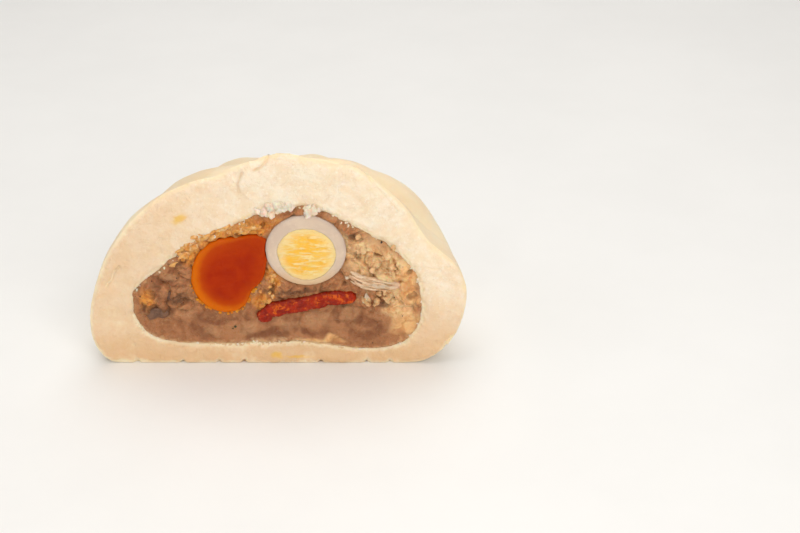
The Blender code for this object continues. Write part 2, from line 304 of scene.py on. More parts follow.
def store(piece, name, value):
    """A value for each vertex that the material can read."""
    field = piece.data.attributes.new(name, "FLOAT", "POINT")
    field.data.foreach_set("value", [value(v.co, v.normal) for v in piece.data.vertices])


def shape(piece, move):
    """Moves each vertex by what move says for its place and normal."""
    vertices = piece.data.vertices
    moves = [move(v.co.copy(), v.normal.copy()) for v in vertices]
    for v, step in zip(vertices, moves):
        v.co += step
    piece.data.update()


def moulded(name, segments, rings, to):
    """A ball whose points go where to(turn, down) says: round its axis, and from 0 at its top to pi."""
    bpy.ops.object.select_all(action="DESELECT")
    bpy.ops.mesh.primitive_uv_sphere_add(segments=segments, ring_count=rings, radius=1.0)
    piece = name_piece(bpy.context.object, name)
    for v in piece.data.vertices:
        v.co = to(math.atan2(v.co.y, v.co.x) % TURN, math.acos(max(-1.0, min(1.0, v.co.z))))
    take(piece)
    bpy.ops.object.mode_set(mode="EDIT")
    bpy.ops.mesh.select_all(action="SELECT")
    bpy.ops.mesh.normals_make_consistent(inside=False)
    bpy.ops.object.mode_set(mode="OBJECT")
    return piece


def lump(name, place, outline, depth, crown=0.0, grow=0.0, snout=0.0, around=120, square=0.9):
    """A body with its outline in the cut face, rounded off behind. In front it is domed by crown, or
    it sticks out straight by snout to cut a bed."""
    def to(turn, down):
        along = down / math.pi * 2
        if along > 1:
            behind = (along - 1) * math.pi / 2
            scale, y = max(0.0, math.cos(behind)) ** square, (depth + grow) * math.sin(behind)
        elif snout:
            scale, y = min(1.0, along * 2), -snout * min(1.0, (1 - along) * 2)
        else:
            scale = math.sin(along * math.pi / 2)
            y = -crown * (1 - scale ** 4)
        radius = (outline(turn) + grow) * scale
        return Vector((place[0] + radius * math.cos(turn), CUT_Y + y, place[1] + radius * math.sin(turn)))

    return moulded(name, around, 32, to)


def near_line(point, line):
    """Distance from (X, Z) to a line of points, in metres."""
    best = 1.0
    for a, b in zip(line, line[1:]):
        a, b = Vector(a) * MM, Vector(b) * MM
        along = b - a
        share = min(1.0, max(0.0, (point - a).dot(along) / along.length_squared))
        best = min(best, (point - a - along * share).length)
    return best


def in_patch(x, z, patch):
    """How far inside an oval patch of the cut face a place lies: 1 in its middle, 0 outside."""
    px, pz, rx, rz = (n * MM for n in patch[:4])
    tilt = math.radians(patch[4]) if len(patch) > 4 else 0.0
    dx, dz = x - px, z - pz
    u = (dx * math.cos(tilt) + dz * math.sin(tilt)) / rx
    w = (dz * math.cos(tilt) - dx * math.sin(tilt)) / rz
    return 1 - eased(math.hypot(u, w), 0.35, 1.15)


def in_patches(co, patches, wander=1.4 * MM, grain=3.2 * MM):
    """As in_patch, for the strongest of several patches with wandering edges."""
    flow = noise.noise_vector(co / grain) * wander
    return max(in_patch(co.x + flow.x, co.z + flow.z, patch) for patch in patches)


def from_middle(co, place):
    """Angle and distance of a place on the cut face from the middle of a piece."""
    dx, dz = co.x - place[0], co.z - place[1]
    return math.atan2(dz, dx), math.hypot(dx, dz)


def outside(co, place, outline):
    """Distance outside an outline on the cut face, negative inside."""
    angle, distance = from_middle(co, place)
    return distance - outline(angle)


def finished(piece, material, slot, *nodes):
    """Gives a piece its material and smooth shading, hangs it under the root, and hides the solids that it
    stands for. The slot is not used.
    """
    take(piece)
    bpy.ops.object.shade_smooth()
    piece.data.materials.clear()
    piece.data.materials.append(material)
    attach(piece, "root")
    if nodes:
        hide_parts(*nodes)
    return piece


# Materials

def group_of(name, inputs, outputs, wire):
    """A shader node group with these named inputs and outputs."""
    tree = bpy.data.node_groups.new(name, "ShaderNodeTree")
    for label, kind, value in inputs:
        socket = tree.interface.new_socket(label, in_out="INPUT", socket_type=kind)
        if value is not None:
            socket.default_value = value
    for label, kind in outputs:
        tree.interface.new_socket(label, in_out="OUTPUT", socket_type=kind)
    wire(tree, tree.nodes.new("NodeGroupInput"), tree.nodes.new("NodeGroupOutput"))
    return tree


def wire_patchy(tree, given, made):
    cloud = tree.nodes.new("ShaderNodeTexNoise")
    cloud.inputs["Roughness"].default_value = 0.6
    span = tree.nodes.new("ShaderNodeMapRange")
    span.interpolation_type = "SMOOTHSTEP"
    tree.links.new(given.outputs["Place"], cloud.inputs["Vector"])
    tree.links.new(given.outputs["Scale"], cloud.inputs["Scale"])
    tree.links.new(given.outputs["Warp"], cloud.inputs["Distortion"])
    tree.links.new(given.outputs["Detail"], cloud.inputs["Detail"])
    tree.links.new(cloud.outputs["Fac"], span.inputs["Value"])
    tree.links.new(given.outputs["From"], span.inputs["From Min"])
    tree.links.new(given.outputs["To"], span.inputs["From Max"])
    tree.links.new(span.outputs["Result"], made.inputs["Mask"])


def wire_pores(tree, given, made):
    cells = tree.nodes.new("ShaderNodeTexVoronoi")
    cells.inputs["Randomness"].default_value = 1.0
    span = tree.nodes.new("ShaderNodeMapRange")
    span.interpolation_type = "SMOOTHSTEP"
    tree.links.new(given.outputs["Place"], cells.inputs["Vector"])
    tree.links.new(given.outputs["Scale"], cells.inputs["Scale"])
    tree.links.new(cells.outputs["Distance"], span.inputs["Value"])
    tree.links.new(given.outputs["Size"], span.inputs["From Max"])
    tree.links.new(span.outputs["Result"], made.inputs["Open"])


FLOAT, VECTOR = "NodeSocketFloat", "NodeSocketVector"
PATCHY = group_of(
    "patchy", [("Place", VECTOR, None), ("Scale", FLOAT, 200.0), ("From", FLOAT, 0.4), ("To", FLOAT, 0.6),
               ("Warp", FLOAT, 0.0), ("Detail", FLOAT, 5.0)], [("Mask", FLOAT)], wire_patchy)
PORES = group_of(
    "pores", [("Place", VECTOR, None), ("Scale", FLOAT, 800.0), ("Size", FLOAT, 0.5)], [("Open", FLOAT)],
    wire_pores)


# The colour sockets of the Mix node, by number because their names repeat
MIX_SHARE, MIX_BELOW, MIX_ABOVE, MIX_RESULT = 0, 6, 7, 2


class Finish:
    """A material under construction. Its sizes are in millimetres."""

    def __init__(self, name, roughness, **shader):
        self.material = bpy.data.materials.new(name)
        self.material.use_nodes = True
        self.tree = self.material.node_tree
        self.shader = self.tree.nodes["Principled BSDF"]
        self.shader.inputs["Roughness"].default_value = roughness
        for key, value in shader.items():
            self.shader.inputs[key.replace("_", " ").title().replace("Ior", "IOR")].default_value = value
        self.place = self.tree.nodes.new("ShaderNodeTexCoord").outputs["Object"]
        self.normal = None

    def wired(self, node, inputs):
        """Links or sets each input, and gives the node back."""
        for key, value in inputs.items():
            socket = node.inputs[key]
            if isinstance(value, bpy.types.NodeSocket):
                self.tree.links.new(value, socket)
            else:
                socket.default_value = value
        return node

    def math(self, operation, *values):
        node = self.tree.nodes.new("ShaderNodeMath")
        node.operation = operation
        return self.wired(node, dict(enumerate(values))).outputs[0]

    def times(self, *values):
        total = values[0]
        for value in values[1:]:
            total = self.math("MULTIPLY", total, value)
        return total

    def stretched(self, x, y, z, turn=(0, 0, 0)):
        """The place, drawn out so that a pattern runs along a direction."""
        node = self.tree.nodes.new("ShaderNodeMapping")
        return self.wired(node, {"Vector": self.place, "Scale": (x, y, z), "Rotation": turn}).outputs[0]

    def patchy(self, size, low=0.4, high=0.6, warp=0.0, place=None, detail=5.0):
        """Soft patches of this size: a mask that rises from low to high in the noise."""
        node = self.tree.nodes.new("ShaderNodeGroup")
        node.node_tree = PATCHY
        return self.wired(node, {"Place": place or self.place, "Scale": 1 / (size * MM), "From": low,
                                 "To": high, "Warp": warp, "Detail": detail}).outputs[0]

    def pores(self, size, share=0.5):
        """Round pores this far apart: 0 in the middle of each."""
        node = self.tree.nodes.new("ShaderNodeGroup")
        node.node_tree = PORES
        return self.wired(node, {"Place": self.place, "Scale": 1 / (size * MM), "Size": share}).outputs[0]

    def stored(self, name):
        node = self.tree.nodes.new("ShaderNodeAttribute")
        node.attribute_name = name
        return node.outputs["Fac"]

    def mix(self, share, below, above):
        node = self.tree.nodes.new("ShaderNodeMix")
        node.data_type = "RGBA"
        below, above = ((*c, 1) if isinstance(c, tuple) else c for c in (below, above))
        return self.wired(node, {MIX_SHARE: share, MIX_BELOW: below, MIX_ABOVE: above}).outputs[MIX_RESULT]

    def between(self, share, low, high):
        node = self.tree.nodes.new("ShaderNodeMapRange")
        return self.wired(node, {"Value": share, "To Min": low, "To Max": high}).outputs[0]

    def bump(self, height, rise):
        """Adds a low relief of this rise."""
        node = self.tree.nodes.new("ShaderNodeBump")
        values = {"Height": height, "Distance": rise * MM, "Strength": 1.0}
        if self.normal:
            values["Normal"] = self.normal
        self.normal = self.wired(node, values).outputs[0]

    def done(self, colour, roughness=None):
        self.tree.links.new(colour, self.shader.inputs["Base Color"])
        if roughness is not None:
            self.tree.links.new(roughness, self.shader.inputs["Roughness"])
        if self.normal:
            self.tree.links.new(self.normal, self.shader.inputs["Normal"])
        return self.material


def dough_finish():
    """Satin ivory skin outside and matte cream crumb at the cut, stained where the filling touches it."""
    f = Finish("steamed_dough", 0.6, subsurface_weight=0.35, subsurface_scale=2.5 * MM,
               subsurface_radius=(1.0, 0.62, 0.38), specular_ior_level=0.35)
    crumb, soak, painted_crease_shade = f.stored("crumb"), f.stored("soak"), f.stored("painted_crease_shade")
    skin = f.mix(f.patchy(16, 0.35, 0.7, 0.6), (0.90, 0.75, 0.52), (0.87, 0.68, 0.44))
    skin = f.mix(f.times(f.patchy(1.1, 0.55, 0.75), 0.35), skin, (0.92, 0.82, 0.66))
    face = f.mix(f.patchy(6, 0.35, 0.65, 0.8), (0.95, 0.83, 0.66), (0.90, 0.73, 0.52))
    face = f.mix(f.times(f.patchy(2.4, 0.5, 0.68, 0.6), 0.55), face, (0.83, 0.66, 0.47))
    face = f.mix(f.times(f.patchy(0.8, 0.52, 0.70), 0.6), face, (0.98, 0.91, 0.79))
    # Painted shade and warm bounce light: the crumb is darker and more orange towards the bottom and the
    # left.
    face = f.mix(f.times(f.stored("painted_warm_shade"), 0.85), face, (0.75, 0.47, 0.235))
    face = f.mix(f.times(soak, 0.6), face, (0.72, 0.47, 0.24))
    face = f.mix(f.stored("stain"), face, (0.86, 0.52, 0.07))
    # Painted shade in the cracks and the nicks of the cut face.
    face = f.mix(f.times(painted_crease_shade, 0.55), face, (0.66, 0.45, 0.27))
    # Painted shade in the crumb's pores, which the bump below also sinks.
    pore = f.math("SUBTRACT", 1.0, f.pores(0.62, 0.42))
    pore = f.times(pore, f.patchy(1.6, 0.42, 0.6), crumb)
    face = f.mix(f.times(pore, 0.4), face, (0.74, 0.55, 0.36))
    f.bump(f.times(f.patchy(0.55, 0.2, 0.8), crumb), 0.12)
    f.bump(f.times(pore, -1.0), 0.18)
    f.bump(f.patchy(2.6, 0.2, 0.8), 0.05)
    f.bump(f.patchy(0.35, 0.2, 0.8), 0.012)
    return f.done(f.mix(crumb, skin, face), f.between(crumb, 0.46, 0.82))


def pork_finish():
    """Moist minced pork: tan lumps, mauve grey meat, painted shade in its creases and pits, and amber fat at
    the edge.
    """
    f = Finish("minced_pork", 0.4, subsurface_weight=0.5, subsurface_scale=2.2 * MM,
               subsurface_radius=(1.0, 0.42, 0.22), specular_ior_level=0.25)
    mauve = f.stored("mauve")
    grey = f.mix(f.patchy(4.6, 0.36, 0.62, 0.5, detail=1.5), (0.25, 0.092, 0.037), (0.49, 0.225, 0.100))
    colour = f.mix(f.patchy(3.2, 0.36, 0.64, 1.2), (0.50, 0.22, 0.092), (0.36, 0.150, 0.062))
    colour = f.mix(f.times(mauve, 0.9), colour, grey)
    tan = f.mix(f.patchy(2.0, 0.38, 0.62, 0.8), (0.84, 0.36, 0.065), (0.58, 0.20, 0.035))
    colour = f.mix(f.times(f.stored("tan"), 0.9), colour, tan)
    light = f.mix(f.patchy(3.4, 0.36, 0.6, 0.8, detail=3.0), (0.74, 0.40, 0.17), (0.98, 0.68, 0.36))
    colour = f.mix(f.times(f.stored("light"), 0.95), colour, light)
    colour = f.mix(f.times(f.stored("pale"), 0.55), colour, (0.58, 0.31, 0.15))
    amber = f.mix(f.patchy(3.0, 0.36, 0.62, 0.8, detail=2.0), (0.97, 0.60, 0.27), (0.74, 0.37, 0.14))
    colour = f.mix(f.times(f.stored("amber"), 0.85), colour, amber)
    few = f.between(mauve, 1.0, 0.25)
    colour = f.mix(f.times(f.patchy(1.3, 0.56, 0.72, 1.0), few, 0.4), colour, (0.78, 0.50, 0.25))
    specks = f.patchy(1.1, 0.62, 0.76, 1.0, f.stretched(1, 1, 1.6))
    colour = f.mix(f.times(specks, few, 0.5), colour, (0.16, 0.060, 0.020))
    # Dark meat, and painted shade in the gaps and crevices.
    colour = f.mix(f.times(f.stored("dark"), 0.75), colour, (0.12, 0.050, 0.022))
    # Painted shade in the creases between the lumps and in the pits.
    colour = f.mix(f.times(f.stored("painted_crease_shade"), 0.55), colour, (0.13, 0.045, 0.014))
    colour = f.mix(f.times(f.stored("rim"), f.patchy(2.0, 0.35, 0.6), 0.8), colour, (0.78, 0.50, 0.27))
    f.bump(f.patchy(0.8, 0.2, 0.8, 1.0), 0.22)
    f.bump(f.patchy(0.3, 0.2, 0.8), 0.06)
    return f.done(colour, f.between(f.patchy(1.3, 0.35, 0.65), 0.24, 0.55))


def salted_yolk_finish():
    """Waxy, glossy yolk: deep orange red inside, clear orange at its rim."""
    f = Finish("salted_egg_yolk", 0.16, subsurface_weight=0.3, subsurface_scale=1.5 * MM,
               subsurface_radius=(1.0, 0.2, 0.02), specular_ior_level=0.08)
    colour = f.mix(f.patchy(5.0, 0.3, 0.7, 0.6), (0.36, 0.020, 0.0005), (0.42, 0.030, 0.0005))
    colour = f.mix(f.stored("ring"), colour, (0.53, 0.070, 0.0005))
    colour = f.mix(f.stored("rim"), colour, (0.66, 0.150, 0.001))
    colour = f.mix(f.times(f.patchy(0.45, 0.68, 0.78), 0.3), colour, (0.85, 0.38, 0.05))
    f.bump(f.times(f.patchy(1.0, 0.2, 0.8), f.patchy(4.2, 0.42, 0.62)), 0.16)
    f.bump(f.patchy(0.3, 0.2, 0.8), 0.012)
    return f.done(colour, f.between(f.patchy(1.8, 0.35, 0.65), 0.08, 0.24))


def egg_white_finish():
    """Smooth translucent cooked white."""
    f = Finish("cooked_egg_white", 0.22, subsurface_weight=0.55, subsurface_scale=2.0 * MM,
               subsurface_radius=(1.0, 0.85, 0.7), specular_ior_level=0.35)
    colour = f.mix(f.patchy(5, 0.35, 0.65, 0.5), (0.70, 0.56, 0.43), (0.64, 0.50, 0.39))
    colour = f.mix(f.times(f.stored("rim"), 0.7), colour, (0.56, 0.44, 0.37))
    colour = f.mix(f.times(f.stored("low"), 0.7), colour, (0.70, 0.46, 0.24))
    f.bump(f.patchy(1.6, 0.2, 0.8), 0.03)
    return f.done(colour, f.between(f.patchy(2.0, 0.3, 0.7), 0.16, 0.3))


def egg_yolk_finish():
    """Mealy cooked yolk with short streaks from the knife."""
    f = Finish("cooked_egg_yolk", 0.6, subsurface_weight=0.3, subsurface_scale=1.0 * MM,
               subsurface_radius=(1.0, 0.6, 0.15), specular_ior_level=0.35)
    streaks = f.patchy(1.0, 0.46, 0.64, 0.4, f.stretched(0.28, 1, 1.25, (0, math.radians(-9), 0)))
    colour = f.mix(f.patchy(3.4, 0.35, 0.65, 0.8), (0.97, 0.61, 0.12), (0.98, 0.51, 0.036))
    colour = f.mix(f.times(streaks, 0.75), colour, (1.0, 0.80, 0.42))
    colour = f.mix(f.times(f.stored("rim"), 0.8), colour, (0.97, 0.74, 0.36))
    cuts = f.patchy(0.7, 0.58, 0.7, 0.6, f.stretched(0.35, 1, 1))
    colour = f.mix(f.times(cuts, 0.5), colour, (0.82, 0.42, 0.05))
    f.bump(streaks, 0.10)
    f.bump(f.patchy(0.5, 0.2, 0.8), 0.12)
    return f.done(colour)


def sausage_finish():
    """Cured red sausage, oily, with lighter fat in it and painted orange highlights."""
    f = Finish("red_sausage", 0.24, subsurface_weight=0.2, subsurface_scale=1.0 * MM,
               subsurface_radius=(1.0, 0.2, 0.05), specular_ior_level=0.2)
    colour = f.mix(f.patchy(2.2, 0.35, 0.65, 0.8), (0.42, 0.024, 0.001), (0.24, 0.009, 0.001))
    # Orange patches and bright specks: lighter fat, and painted highlights on the oily meat.
    colour = f.mix(f.times(f.patchy(1.6, 0.50, 0.64, 0.6), 0.85), colour, (0.70, 0.125, 0.006))
    colour = f.mix(f.times(f.patchy(0.8, 0.66, 0.76), 0.6), colour, (0.78, 0.34, 0.08))
    colour = f.mix(f.times(f.stored("edge"), 0.7), colour, (0.20, 0.008, 0.002))
    f.bump(f.patchy(0.9, 0.2, 0.8, 0.5), 0.16)
    return f.done(colour, f.between(f.patchy(0.9, 0.35, 0.65), 0.10, 0.32))


def shred_finish():
    """Pale fibres of cooked pork."""
    f = Finish("pork_fibres", 0.42, subsurface_weight=0.35, subsurface_scale=1.2 * MM,
               subsurface_radius=(1.0, 0.5, 0.3), specular_ior_level=0.6)
    along = f.stretched(0.25, 1, 1, (0, math.radians(14), 0))
    colour = f.mix(f.patchy(0.8, 0.35, 0.65, 0.3, along), (0.84, 0.57, 0.36), (0.62, 0.34, 0.18))
    colour = f.mix(f.times(f.patchy(2.0, 0.5, 0.55), 0.6), colour, (0.82, 0.60, 0.42))
    f.bump(f.patchy(0.6, 0.2, 0.8, 0.2, along), 0.15)
    return f.done(colour)


def mushroom_finish():
    """Moist dark brown mushroom."""
    f = Finish("braised_mushroom", 0.35, specular_ior_level=0.6)
    colour = f.mix(f.patchy(1.8, 0.35, 0.65, 0.8), (0.19, 0.080, 0.034), (0.11, 0.044, 0.018))
    colour = f.mix(f.times(f.patchy(1.0, 0.6, 0.75), 0.6), colour, (0.30, 0.14, 0.065))
    f.bump(f.patchy(0.8, 0.2, 0.8), 0.2)
    return f.done(colour)


def fleck_finish(name, dark, light):
    f = Finish(name, 0.5, specular_ior_level=0.4)
    f.bump(f.patchy(0.4, 0.2, 0.8), 0.08)
    return f.done(f.mix(f.patchy(0.5, 0.3, 0.7), dark, light))


# The dough

DOUGH_GRAIN = 0.84 * MM
CRACKS = (  # line on the cut face, width and depth in millimetres
    (((-50.0, 27.5), (-48.2, 29.8), (-47.4, 32.6), (-45.6, 34.4)), 0.35, 0.7),
    (((-0.2, 70.0), (-1.0, 68.0), (-2.6, 66.3), (-4.6, 65.4)), 0.30, 0.6),
    (((-8.0, 64.5), (-9.4, 61.2), (-9.0, 58.5)), 0.25, 0.45),
    (((52.2, 10.0), (50.6, 7.6), (50.4, 5.0), (49.0, 3.2)), 0.35, 0.9),
    (((44.5, 33.6), (47.8, 33.2), (51.0, 34.2)), 0.25, 0.35),
    (((25.0, 66.0), (30.0, 60.0), (36.0, 52.5)), 0.30, 0.35),
)
NICKS = (-43.6, -29.7, -18.6, -11.0, 12.5, 26.5, 33.6)  # along the bottom edge of the cut face
STAINS = (
    (-0.6, 3.2, 2.0, 1.5), (6.0, 2.6, 5.0, 0.7), (-26.8, 50.0, 3.0, 1.6, 35), (-6.0, 50.4, 7.0, 1.0, 20),
)
FILLING_PLACE = (FILLING_X, FILLING_Z)
EGG_PLACE = (EGG_X, EGG_Z)
SALTED_PLACE = (SALTED_X, SALTED_Z)
YOLK_PLACE = (YOLK_X, YOLK_Z)
SAUSAGE_LINE = ((-3.2, 15.4), (-3.4, 18.4), (1.0, 20.3), (8.0, 21.6), (16.0, 23.6), (23.8, 24.2))


def whole_bun():
    """The bun's closed skin, pleats and all, before the cut."""
    base_start = math.radians(155)

    def to(turn, down):
        if down <= math.pi / 2:
            return bun_point(turn, 1 - down / (math.pi / 2))
        if down < base_start:
            return bun_point(turn, -(down - math.pi / 2) / (base_start - math.pi / 2))
        share = (math.pi - down) / (math.pi - base_start)
        return Vector((0, AXIS_Y, 0)).lerp(bun_point(turn, -1.0), share)

    return moulded("bun_half", PLEATS * 20, 120, to)


def ahead_of(co, start, end):
    """1 from the cut face to start behind it, and 0 from end on."""
    return 1 - eased(co.y, CUT_Y + start, CUT_Y + end)


def at_cut(co):
    return ahead_of(co, 0.35 * MM, 1.0 * MM)


def lip(co, normal):
    """1 where the crumb meets the filling."""
    return at_cut(co) * bell(outside(co, FILLING_PLACE, filling_outline), 0.4 * MM, 1.1 * MM)


def filling_body(name, **settings):
    return lump(name, FILLING_PLACE, ragged_outline, FILLING_DEPTH, around=360, square=0.8, **settings)


def build_dough():
    bun = whole_bun()
    take(bun)
    bpy.ops.object.mode_set(mode="EDIT")
    bpy.ops.mesh.select_all(action="SELECT")
    bpy.ops.mesh.bisect(plane_co=(0, CUT_Y, 0), plane_no=(0, -1, 0), use_fill=True, clear_outer=True)
    bpy.ops.object.mode_set(mode="OBJECT")
    carve(bun, filling_body("cavity", snout=6 * MM))
    even_out(bun, DOUGH_GRAIN, passes=2)
    weigh(bun, "edge", lambda co, n: bell(n.y, -0.7, 0.35) * ahead_of(co, 1 * MM, 3 * MM))
    apply(bun, "SMOOTH", factor=0.5, iterations=14, vertex_group="edge")
    front = CUT_Y + 0.9 * MM
    refine(bun, lambda middle, normal: middle.y < front and normal.y < -0.25)
    weigh(bun, "face", lambda co, n: at_cut(co))
    weigh(bun, "outside", lambda co, n: (1 - at_cut(co)) * eased(co.z, 0.4 * MM, 3 * MM) * outside_reach(co))
    weigh(bun, "lip", lip)
    relief(bun, "face", "CLOUDS", 9 * MM, -1.0 * MM, middle=0.35)
    relief(bun, "face", "CLOUDS", 3.6 * MM, -0.45 * MM, middle=0.35)
    relief(bun, "face", "CLOUDS", 1.4 * MM, -0.34 * MM, middle=0.3, noise_depth=3)
    relief(bun, "face", "VORONOI", 1.0 * MM, -0.12 * MM, middle=0.3)
    relief(bun, "lip", "CLOUDS", 1.1 * MM, 1.1 * MM, middle=0.62, noise_depth=2)
    relief(bun, "outside", "CLOUDS", 12 * MM, -0.5 * MM, middle=0.3)
    relief(bun, "outside", "CLOUDS", 2.5 * MM, -0.09 * MM, middle=0.3)
    shape(bun, cut_marks)
    store_dough_masks(bun)
    return finished(bun, dough_finish(), "dough", "dough")


def outside_reach(co):
    """0 in the cavity and 1 on the outer skin."""
    away = Vector((co.x - FILLING_X, (co.y - CUT_Y), co.z - FILLING_Z))
    return eased(away.length, 30 * MM, 48 * MM) if co.y > CUT_Y + 1 * MM else 1.0


def cut_marks(co, normal):
    """Cracks, and nicks at the bottom edge."""
    if co.y > CUT_Y + 2.5 * MM or normal.y > -0.05:
        return Vector()
    wander = noise.noise_vector(co / (1.6 * MM)) * 0.35 * MM
    spot = Vector((co.x + wander.x, co.z + wander.z))
    deep = 0.0
    for line, width, depth in CRACKS:
        deep = max(deep, depth * MM * bell(near_line(spot, line), 0, width * MM))
    for x in NICKS:
        low = bell(co.z, 0.0, 1.5 * MM)
        deep = max(deep, 1.3 * MM * low * bell(spot.x, x * MM, 0.7 * MM))
    return Vector((0, deep, 0))


def warm_shade_below_left(co, normal):
    """Painted shade and warm bounce light: the crumb turns from cream to a darker straw downwards and towards
    the left.
    """
    drift = 3 * MM * noise.noise(co / (7 * MM))
    low = 1 - eased(co.z + drift, 0.0, 34 * MM)
    left = 1 - eased(co.x + drift, -50 * MM, 4 * MM)
    return max(low, 0.62 * left)


def store_dough_masks(bun):
    # Painted shade in the cracks and in the nicks along the bottom edge.
    def painted_crease_shade(co, n):
        if co.y > CUT_Y + 3 * MM:
            return 0.0
        spot = Vector((co.x, co.z))
        lines = max(0.9 * bell(near_line(spot, line), 0, 0.5 * MM) for line, w, d in CRACKS[:4])
        return max(lines, max(0.9 * bell(co.x, x * MM, 0.5 * MM) * bell(co.z, 0, 0.9 * MM) for x in NICKS))

    def soak(co, n):
        away = outside(co, FILLING_PLACE, ragged_outline)
        reach = 1.0 * MM + 1.2 * MM * eased(noise.noise(co / (4 * MM)), -0.2, 0.5)
        reach += 3.0 * MM * bell(co.x, 13 * MM, 18 * MM) * eased(-co.z, -12 * MM, -6 * MM)
        return 1 - eased(away, 0.1 * MM, reach)

    store(bun, "crumb", lambda co, n: at_cut(co) if outside_reach(co) > 0 else 1.0)
    store(bun, "soak", soak)
    store(bun, "painted_crease_shade", painted_crease_shade)
    store(bun, "stain", lambda co, n: 0.75 * at_cut(co) * in_patches(co, STAINS, 0.6 * MM, 1.5 * MM))
    store(bun, "painted_warm_shade", warm_shade_below_left)


# The filling

PORK_GRAIN = 0.68 * MM
# Ovals on the cut face: X, Z, half width and half height in millimetres, and tilt in degrees if any
TAN_PATCHES = (
    (-19.0, 44.2, 13.0, 4.0, 22), (-5.5, 47.0, 10.0, 4.0, 14), (-0.6, 30.5, 2.4, 6.5, -10),
    (-38.5, 23.0, 2.4, 5.0), (-25.0, 38.0, 4.0, 5.0, 50), (-4.5, 22.5, 3.0, 3.5),
)
LIGHT_PATCHES = ((24.0, 39.0, 9.0, 8.0), (33.0, 33.0, 10.0, 9.0, -30), (36.5, 22.0, 6.0, 10.0))
MAUVE_PATCHES = (
    (-2.0, 12.5, 36.0, 6.0), (22.0, 14.0, 18.0, 8.0), (-31.0, 29.0, 9.0, 7.0, 32), (-24.0, 14.0, 9.0, 6.0),
)
PALE_PATCHES = (
    (27.5, 23.6, 2.2, 1.6), (-9.0, 13.0, 4.0, 2.6, 30), (3.0, 14.4, 5.0, 2.2, -10),
    (12.0, 16.2, 6.5, 3.0, 10), (22.0, 18.0, 5.0, 3.0, 20), (-20.0, 12.0, 3.6, 2.2, -20),
    (-27.0, 18.5, 4.0, 2.0), (-3.0, 9.0, 6.0, 1.6), (30.0, 33.0, 3.5, 2.4, -20),
    (-1.8, 28.5, 1.6, 4.5, -8), (-7.5, 47.6, 2.2, 1.2, 20), (22.0, 40.5, 3.0, 1.6, 20),
    (-31.0, 31.5, 2.5, 1.6),
)
# Dark patches: partly dark meat round the mushrooms, partly painted shade in the gaps and crevices, such as
# under the egg.
DARK_MEAT_AND_SHADE_PATCHES = (
    (-35.5, 18.8, 6.0, 2.6, 8), (-28.6, 23.6, 4.4, 2.2, 25), (6.5, 26.0, 8.0, 1.2, 6),
    (23.5, 44.2, 3.0, 1.2, -10), (-27.5, 36.2, 3.4, 0.9, 35), (30.5, 25.4, 1.4, 1.6),
    (-39.5, 20.5, 1.0, 2.5), (31.5, 21.6, 2.4, 1.4), (20.5, 21.0, 2.4, 1.0),
)
AMBER_PATCHES = ((39.5, 28.0, 3.6, 9.0, 8), (38.5, 14.0, 5.0, 7.0, -10), (12.0, 8.5, 9.0, 1.6))


def from_sausage(co):
    """Distance on the cut face from the sausage's middle line."""
    return near_line(Vector((co.x, co.z)), SAUSAGE_LINE)


def torn_lumps(co, size, warp):
    """Rounded lumps with creases between them: height from 0 to 1, and how deep in a crease."""
    spot = Vector((co.x, co.y * 0.5, co.z)) + noise.noise_vector(co / (size * 0.9)) * warp
    swell = abs(noise.noise(spot / size))
    return eased(swell, 0.0, 0.32), 1 - eased(swell, 0.0, 0.075)


def pork_height(co):
    """Relief of the minced pork at the cut, and the painted shade for its creases and pits."""
    coarse = eased(co.z + 4 * MM * noise.noise(co / (9 * MM)), 13 * MM, 26 * MM)
    big, crease = torn_lumps(co, 4.6 * MM, 1.6 * MM)
    small, fine_crease = torn_lumps(co + Vector((0.02, 0, 0.01)), 2.1 * MM, 0.8 * MM)
    rough = noise.fractal(co / (1.5 * MM), 0.8, 2.0, 3)
    height = (0.25 + 0.75 * coarse) * MM * big + (0.08 + 0.30 * coarse) * MM * small + 0.15 * MM * rough
    pits = eased(noise.noise(co / (2.9 * MM) + Vector((7, 0, 3))), 0.42, 0.6) * coarse
    broken = eased(noise.noise(co / (6 * MM) + Vector((2, 5, 9))), -0.05, 0.3)
    painted_crease_shade = max(crease * broken * (0.15 + 0.75 * coarse), 0.5 * fine_crease * broken * coarse, 0.7 * pits)
    return height - 0.9 * MM * pits, painted_crease_shade


def pork_rim(co, normal):
    """Where the meat's edge fades into the soaked dough, most of all along the bottom."""
    low = 1 - eased(co.z, 9 * MM, 15 * MM)
    away = -outside(co, FILLING_PLACE, ragged_outline)
    return (0.35 + 0.65 * low) * (1 - eased(away, 0.2 * MM, (0.9 + 1.6 * low) * MM))


def raise_meat(co, normal):
    """Brings the meat's lumps forward, less so at its border, round the eggs and along the sausage."""
    ahead = ahead_of(co, 0.8 * MM, 3.0 * MM)
    if ahead <= 0:
        return Vector()
    height = pork_height(co)[0]
    edge = eased(-outside(co, FILLING_PLACE, ragged_outline), -0.3 * MM, 2.2 * MM)
    edge *= eased(outside(co, EGG_PLACE, egg_outline), -0.2 * MM, 2.4 * MM)
    edge *= 0.4 + 0.6 * eased(outside(co, SALTED_PLACE, salted_outline), -0.2 * MM, 1.6 * MM)
    edge *= eased(from_sausage(co), 2.0 * MM, 3.8 * MM)
    forward = height * (0.35 + 0.65 * edge) - 0.75 * MM
    return Vector((0, -ahead * forward, 0)) + normal * 0.2 * height


